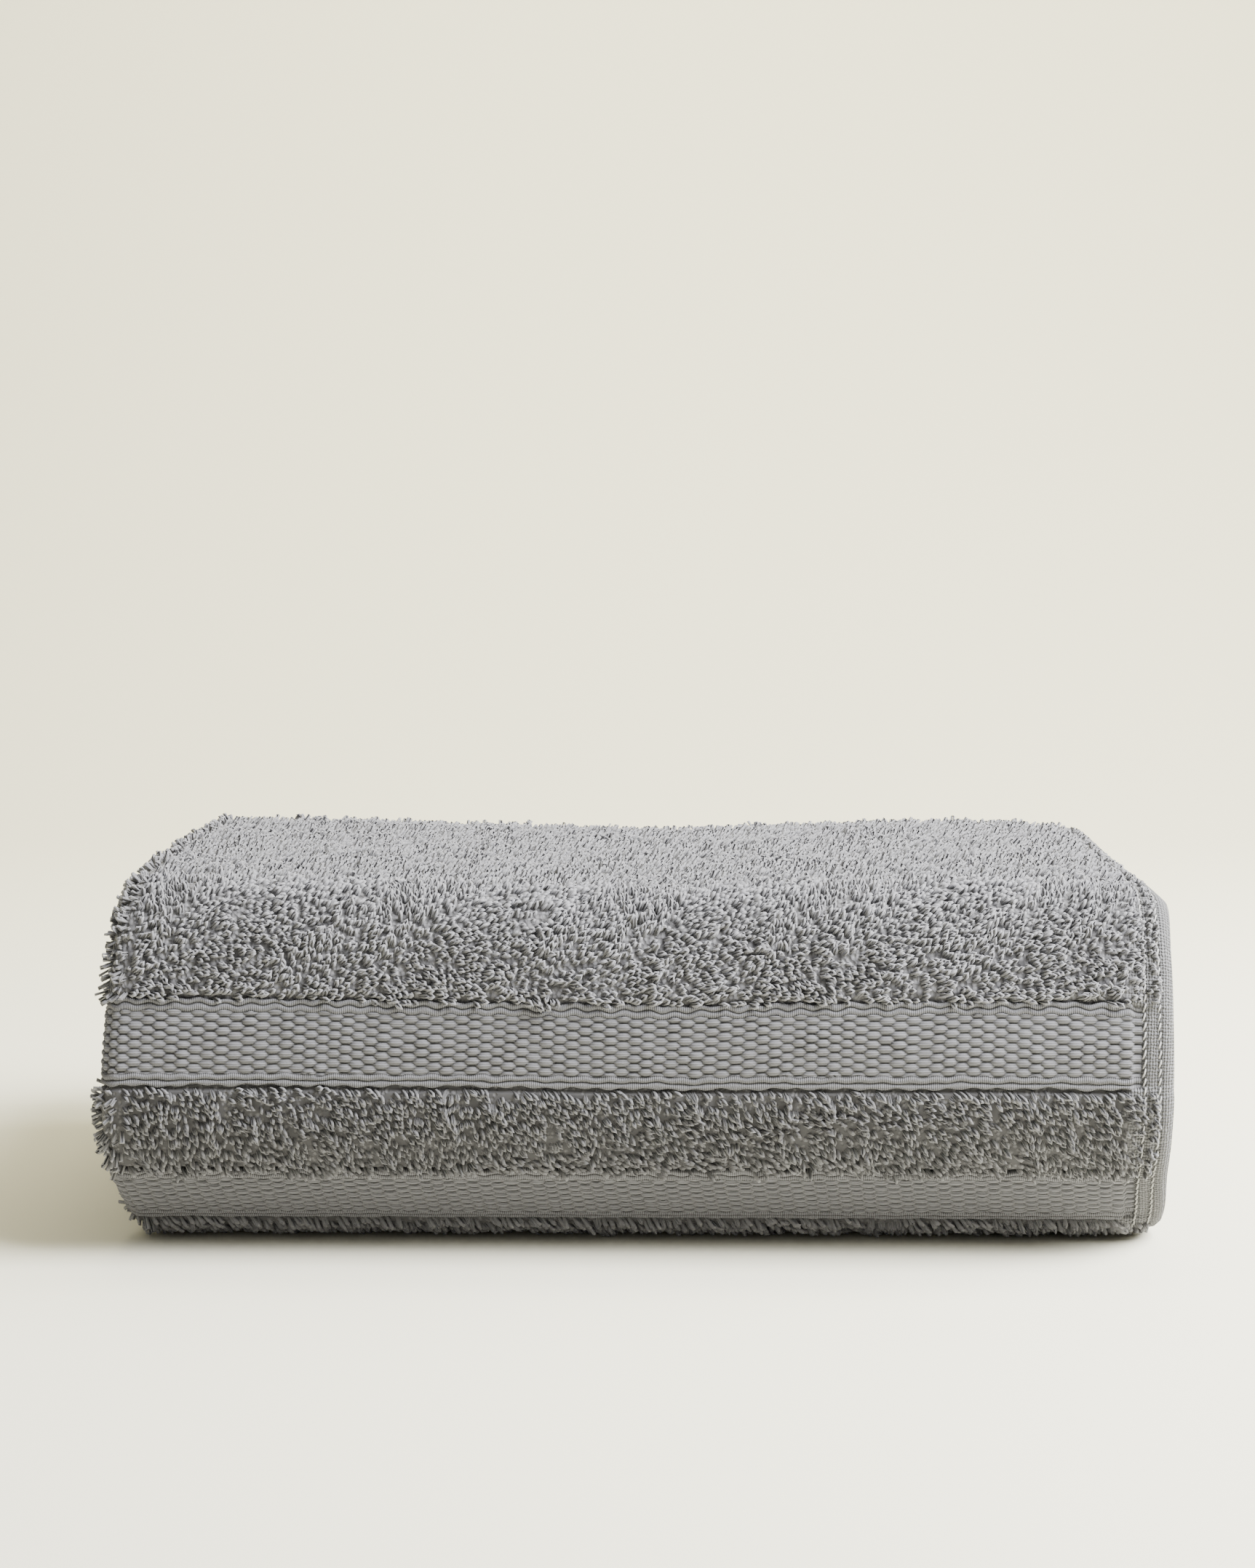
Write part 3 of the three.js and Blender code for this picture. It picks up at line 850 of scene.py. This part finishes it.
# Painted shade: the slots and the cells' edges, and on the ribs the lines between them and the gaps
# between their cords
pit_shade = slot * SLOT_PAINTED_SHADE + (1 - dome) * CELL_EDGE_PAINTED_SHADE
weave_painted_shade = on_rib * (rib_gap_shade + (1 - cords) * CORD_GAP_PAINTED_SHADE - pit_shade) + pit_shade
lit = shade.blend(YARN_SHADE, YARN)
dress(border_weave, weave_painted_shade.clipped().blend(lit, PAINTED_GAP_SHADE), body + lines * 0.3, bump=0.9, reach=0.0005)

lower_border = woven_border("border_lower", "lower band", 11)
upper_border = woven_border("border_upper", "upper band", 12)


# Side seams
# Two rows of light cotton stitches hold the folded side hem down, one near its inner edge and
# one near its outer edge. Each stitch is a short bowed length of thread, a little slanted.
STITCH_PITCH = 0.0029
STITCH_LENGTH = 0.0031
STITCH_SLANT = 0.00045
THREAD_RADIUS = 0.00034
STITCH_RISE = 0.00060
STITCH_RINGS = 5
STITCH_BOW = 1.4
STITCH_SPREAD = (0.93, 1.05)
STITCH_DRIFT = 0.00008
THREAD_TAPER = 0.35
TWIST_SCALE = 2400.0
THREAD = (0.52, 0.515, 0.505, 1.0)
THREAD_SHADE = (0.30, 0.297, 0.292, 1.0)


def frame_on(s, w, lift):
    """Places on the cloth with three unit directions there: along s, along w and outwards, and
    how much the cloth is stretched along s and w where it stands off its middle line."""
    small = 0.0002
    place = outside(s, w, lift)
    along = (outside(s + small, w, lift) - outside(s - small, w, lift)) / (2 * small)
    across = (outside(s, w + small, lift) - outside(s, w - small, lift)) / (2 * small)
    out = outside(s, w, lift + small) - outside(s, w, lift - small)
    stretch = np.linalg.norm(along, axis=-1) * np.linalg.norm(across, axis=-1)
    along = along / np.linalg.norm(along, axis=-1, keepdims=True)
    out = out - along * np.sum(out * along, axis=-1, keepdims=True)
    out = out / np.linalg.norm(out, axis=-1, keepdims=True)
    across = np.cross(along, out)
    return place + to_frame, along, across, out, stretch


def tubes(centre, side, up, radius, corners):
    """Points and faces of closed tubes: round every ring's centre the points stand at even
    angles between its side and up directions, and a flat face closes each end."""
    count, rings = centre.shape[:2]
    angle = 2 * math.pi * np.arange(corners) / corners + math.pi / 2
    ring = np.cos(angle)[:, None] * side[:, :, None, :] + np.sin(angle)[:, None] * up[:, :, None, :]
    points = centre[:, :, None, :] + radius[..., None, None] * ring
    number = np.arange(count * rings * corners).reshape(count, rings, corners)
    after = np.roll(number, -1, axis=2)
    walls = np.stack([number[:, :-1], after[:, :-1], after[:, 1:], number[:, 1:]], axis=-1)
    faces = [walls.reshape(-1, 4), number[:, 0, ::-1].copy(), number[:, -1].copy()]
    return points.reshape(-1, 3), faces


def seam(name, inset, seed):
    """One row of stitches along the cloth: each a tube of five rings whose middle is bowed up and
    whose ends go into the hem, leaning a little across the row."""
    draw = np.random.default_rng(seed)
    s = np.arange(foot_start, top_end, STITCH_PITCH)
    share = np.linspace(-1.0, 1.0, STITCH_RINGS)
    w = inset_of(path_at(s), inset)
    s_ring = s[:, None] + share * STITCH_LENGTH / 2 * draw.uniform(*STITCH_SPREAD, (len(s), 1))
    w_ring = w[:, None] + share * STITCH_SLANT + draw.normal(0.0, STITCH_DRIFT, (len(s), 1))
    border = path_at(s_ring)["depth"] / BAND_RECESS
    lift = hem_lift(inset, border) - SEAM_DIP + STITCH_RISE * (1 - STITCH_BOW * share**2)
    place, _, across, out, _ = frame_on(s_ring, w_ring, lift)
    radius = THREAD_RADIUS * (1 - THREAD_TAPER * share**2) * np.ones_like(s_ring)
    points, faces = tubes(place, -across, out, radius, 4)
    piece = new_piece(name, points, faces, seam_thread)
    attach(piece, "root")
    return piece


seam_thread, tone = new_material("seam_thread", roughness=0.8)
place = tone.node("ShaderNodeTexCoord", None, None, OBJECT_PLACE)
twist = place.noise(TWIST_SCALE)
dress(seam_thread, twist.blend(THREAD_SHADE, THREAD), twist, bump=0.5, reach=0.0002)
seams = [seam(f"seam_{number + 1}", inset, 21 + number) for number, inset in enumerate(SEAM_ROWS)]


# Loop pile
# Every loop is one turn of soft twisted cotton that stands out of the ground weave, falls over
# and lies with its neighbours in small locks. Loops stand wherever the outer face of the cloth
# shows: on the top, round the front between the bands, on the back folds and on the left folds.
LOOPS_PER_METRE2 = 175000.0
HEM_LOOP_INSET, HEM_LOOP_FADE = 0.0058, 0.0004
LOOP_CROWDING = 1.75
ROOT_JITTER = 0.35
ROOT_SINK = 0.0004
KEPT_SHARE = 0.45
SEAM_CLEAR = 0.25
BAND_FOOT_OVERLAP = 0.0002
BAND_TOP_OVERLAP = 0.0001
LOOP_LENGTH = 0.0048
LENGTH_UNEVEN = 0.12
HEM_LOOP_SHARE = 0.5
HEM_LOOP_FIRST = HEM_WIDTH - 0.0035
LOOP_HALF_WIDTH = 0.00056
STRAND_RADIUS = 0.00050
STRAND_TAPER = 0.25
LEG_BEND = 2.2
LEG_WAVE = 2.5
ROOT_LEAN = math.radians(18)
TIP_LEAN = math.radians(76)
LEAN_MIDDLE, LEAN_SPREAD = 0.95, 0.17
LEAN_PER_PULL = 0.15
LEAN_LIMITS = (0.5, 1.2)
LOCK_SIZE = 0.012
FLOW = 0.5
FLOW_SIZE = LOCK_SIZE * 4
TALL_SPREAD = (0.78, 1.2)
WIDE_SPREAD = (0.8, 1.25)
STRAND_SPREAD = (0.9, 1.12)
SPREAD = 0.25
ROLL = 1.6
FLOOR_CUSHION = 0.0012
LOOP_FIBRE_SCALE, LOOP_PATCH_SCALE = 1800.0, 35.0
LOOP_SHARE, FIBRE_SHARE, PATCH_SHARE, ALL_DARKER = 0.45, 0.35, 0.3, 0.05
# The loops' own tones vary at random between the first two colours; towards the roots they take
# painted shade, darker still where depth is over 1
LOOP_COLOUR = (0.162, 0.161, 0.173, 1.0)
LOOP_LIGHT = (0.244, 0.243, 0.261, 1.0)
LOOP_ROOT_PAINTED_SHADE = (0.118, 0.117, 0.124, 1.0)
LOOP_SHADE = (0.034, 0.034, 0.036, 1.0)


def loop_roots(first, last, low_w, high_w, density, seed):
    """Places of loops between two distances s and two places w: a staggered grid with every
    point moved at random, thinned where the cloth is drawn together, and cleared in the bands."""
    draw = np.random.default_rng(seed)
    step = 1 / math.sqrt(density * LOOP_CROWDING)
    s, w = np.meshgrid(np.arange(first, last, step), np.arange(low_w, high_w, step), indexing="ij")
    w = w + step / 2 * (np.arange(s.shape[0]) % 2)[:, None]
    s = (s + draw.uniform(-ROOT_JITTER, ROOT_JITTER, s.shape) * step).ravel()
    w = (w + draw.uniform(-ROOT_JITTER, ROOT_JITTER, w.shape) * step).ravel()
    stretch = frame_on(s, w, -PILE_HEIGHT * 0.5)[4]
    kept = draw.uniform(0.0, LOOP_CROWDING, s.shape) < stretch
    kept &= pile_share(s, w, HEM_LOOP_INSET, HEM_LOOP_INSET + HEM_LOOP_FADE) > KEPT_SHARE
    kept &= (seam_dips(inset_of(path_at(s), w)) < SEAM_CLEAR) | (w < 0)
    for name in BANDS:
        start, end = span(name)
        kept &= (s < start + BAND_FOOT_OVERLAP) | (s > end - BAND_TOP_OVERLAP)
    return s[kept], w[kept]


def pile(
    name, zone, rings, seed, falls, length, density,
    locks=0.3, thick=1.0, spread=SPREAD, depth=1.0, open_width=1.0,
):
    """Loops of so many rings over one zone, length times as long, density times as many and thick
    times as stout as the common ones. A loop's middle line bends evenly from its root lean to its
    tip lean towards the way it falls. Its two legs stand off that line by the sine of their
    distance from the tip, and the whole loop is rolled about the line at random. falls are the
    common ways the loops fall, across and along the cloth, at the zone's two ends, with spread as
    their random part. The slopes of an uneven field, times locks, draw them together, and the
    floor presses the lowest ones flat. depth is how far up towards its tip a loop is painted with
    its neighbours' shade, and over 1 its root is painted darker still. open_width is how far its
    legs stand apart."""
    draw = np.random.default_rng(seed)
    s, w = loop_roots(*zone, LOOPS_PER_METRE2 * density, seed)
    full = np.where(w > 0, ramp(inset_of(path_at(s), w), HEM_LOOP_FIRST, PILE_WHOLE), 1.0)
    root, along, across, out, _ = frame_on(s, w, -ROOT_SINK - PILE_HEIGHT * full)
    field, slope_s, slope_w = soft_waves(s, w, LOCK_SIZE, seed + 1)
    _, flow_s, flow_w = soft_waves(s, w, FLOW_SIZE, seed + 2)
    gone = (s - zone[0]) / (zone[1] - zone[0])
    fall_w = (1 - gone) * falls[0][0] + gone * falls[1][0]
    fall_s = (1 - gone) * falls[0][1] + gone * falls[1][1]
    fall_w = fall_w + locks * slope_w + FLOW * flow_w + draw.normal(0.0, spread, s.shape)
    fall_s = fall_s + locks * slope_s + FLOW * flow_s + draw.normal(0.0, spread, s.shape)
    strength = np.hypot(fall_w, fall_s)
    down = (fall_w[:, None] * across + fall_s[:, None] * along) / strength[:, None]
    beside = np.cross(out, down)
    tall = LOOP_LENGTH * length * draw.uniform(*TALL_SPREAD, s.shape) * (1 + LENGTH_UNEVEN * field)
    tall = tall * (HEM_LOOP_SHARE + (1 - HEM_LOOP_SHARE) * full)
    leaning = draw.normal(LEAN_MIDDLE, LEAN_SPREAD, s.shape) + LEAN_PER_PULL * (strength - 1)
    tip_lean = TIP_LEAN * np.clip(leaning, *LEAN_LIMITS)
    turned = (tip_lean - ROOT_LEAN)[:, None]
    t = np.linspace(-1.0, 1.0, rings)
    share = 1 - np.abs(t) ** LEG_BEND
    lean = ROOT_LEAN + turned * share
    size = tall[:, None] / turned
    height = size * (np.sin(lean) - math.sin(ROOT_LEAN))
    away = size * (math.cos(ROOT_LEAN) - np.cos(lean))
    wide = open_width * thick * LOOP_HALF_WIDTH * np.sin(LEG_WAVE * t)
    wide = wide * draw.uniform(*WIDE_SPREAD, (len(s), 1))
    roll = draw.normal(0.0, ROLL * spread, (len(s), 1, 1))
    upper = np.sin(lean)[..., None] * out[:, None] - np.cos(lean)[..., None] * down[:, None]
    aside = np.cos(roll) * beside[:, None] + np.sin(roll) * upper
    centre = root[:, None] + height[..., None] * out[:, None] + away[..., None] * down[:, None]
    centre = centre + wide[..., None] * aside
    way = np.gradient(centre, axis=1)
    way = way / np.linalg.norm(way, axis=-1, keepdims=True)
    face = np.cos(roll) * upper - np.sin(roll) * beside[:, None]
    face = face - way * np.sum(face * way, axis=-1, keepdims=True)
    face = face / np.linalg.norm(face, axis=-1, keepdims=True)
    edge = np.cross(way, face)
    radius = thick * STRAND_RADIUS * (1 - STRAND_TAPER + STRAND_TAPER * share)
    radius = radius * draw.uniform(*STRAND_SPREAD, (len(s), 1))
    points, faces = tubes(centre, edge, face, radius, 3)
    pressed = FLOOR_CUSHION * np.exp(np.minimum(points[:, 2] / FLOOR_CUSHION, 1.0) - 1)
    points[:, 2] = np.maximum(points[:, 2], pressed)
    shade = np.repeat(draw.uniform(0.0, 1.0, len(s)), rings * 3)
    # tip and dim: how far up from the root the painted shade reaches, and how dark it is at the
    # root
    tip = np.tile(np.repeat(share**depth, 3), len(s))
    dim = np.full(len(points), min(max(depth - 1.0, 0.0), 1.0))
    piece = new_piece(name, points, faces, loop_cotton, {"shade": shade, "tip": tip, "dim": dim})
    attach(piece, "root")
    return piece


loop_cotton, tone = new_material("loop_cotton", roughness=0.9, sheen=0.25)
shade = tone.carried("shade")
tip = tone.carried("tip")
dim = tone.carried("dim")
place = tone.node("ShaderNodeTexCoord", None, None, OBJECT_PLACE)
fibre = place.noise(LOOP_FIBRE_SCALE)
patch = place.noise(LOOP_PATCH_SCALE)
lit = shade * LOOP_SHARE + fibre * FIBRE_SHARE + patch * PATCH_SHARE - ALL_DARKER
strand = lit.blend(LOOP_COLOUR, LOOP_LIGHT)
# Painted shade at the roots, darker where dim is set, giving way to the loops' own tones towards
# the tips
root = dim.blend(LOOP_ROOT_PAINTED_SHADE, LOOP_SHADE)
dress(loop_cotton, (tip * tip).blend(root, strand), fibre, bump=0.4, reach=0.0002)

upper_band, lower_band = span("upper band"), span("lower band")
top_front = span("top layer")[0]
top_back = span("upper back fold")[0]
fold_low = -math.pi * HALF
right = WIDTH - HALF - HEM_LOOP_INSET
wrap_start = span("bottom layer")[1]
FOOT_UNDER, SIDE_UNDER = 0.004, 0.006
RIGHT_DOWN = (0.75, -0.65)
RIGHT_UP = (0.7, 0.7)
RIGHT = (0.9, -0.1)
RIGHT_BACK = (0.95, 0.2)
HANGING = (0.3, 0.6)
TOWARDS_START = (0.0, -0.4)
foot = wrap_start - FOOT_UNDER
top_middle = (top_front + top_back) / 2
lower_fold = span("lower back fold")
foot_zone = (foot, lower_band[0], 0.0, right)
strip_zone = (lower_band[1], upper_band[0], 0.0, right)
front_zone = (upper_band[1], top_front, 0.0, right)
top_front_zone = (top_front, top_middle, 0.0, right)
top_back_zone = (top_middle, top_back, 0.0, right)
upper_back_zone = (top_back, top_end, 0.0, right)
lower_back_zone = (*lower_fold, 0.0, right)
piles = [
    pile(
        "loops_foot", foot_zone, 5, 31, (RIGHT_DOWN, RIGHT_DOWN), length=1.0, density=1.2,
        locks=0.4, thick=1.3, spread=0.16, depth=1.1, open_width=0.5,
    ),
    pile(
        "loops_strip", strip_zone, 5, 32, (RIGHT_DOWN, RIGHT_DOWN), length=0.95, density=1.4,
        locks=0.45, thick=1.28, spread=0.17, depth=1.8, open_width=0.5,
    ),
    pile(
        "loops_front", front_zone, 5, 33, (RIGHT, RIGHT_UP), length=0.95, density=1.6,
        thick=1.12, spread=0.2, depth=0.55, open_width=0.85,
    ),
    pile("loops_top_front", top_front_zone, 4, 34, (RIGHT_BACK, RIGHT_BACK), 0.95, density=1.3),
    pile("loops_top_back", top_back_zone, 4, 35, (RIGHT_BACK, RIGHT_BACK), 0.95, density=1.15),
    pile("loops_upper_back", upper_back_zone, 4, 36, (HANGING, HANGING), 1.0, density=1.0),
    pile("loops_lower_back", lower_back_zone, 4, 37, (HANGING, HANGING), 1.0, density=1.0),
]
side_zones = ((0.0, wrap_start), (wrap_start, top_front), (top_front, top_end), (top_end, path_end))
for number, zone in enumerate(side_zones):
    side = (*zone, fold_low - SIDE_UNDER, 0.0)
    name = f"loops_side_{number + 1}"
    falls = (TOWARDS_START, TOWARDS_START)
    piles.append(pile(name, side, 4, 41 + number, falls, length=1.1, density=0.9))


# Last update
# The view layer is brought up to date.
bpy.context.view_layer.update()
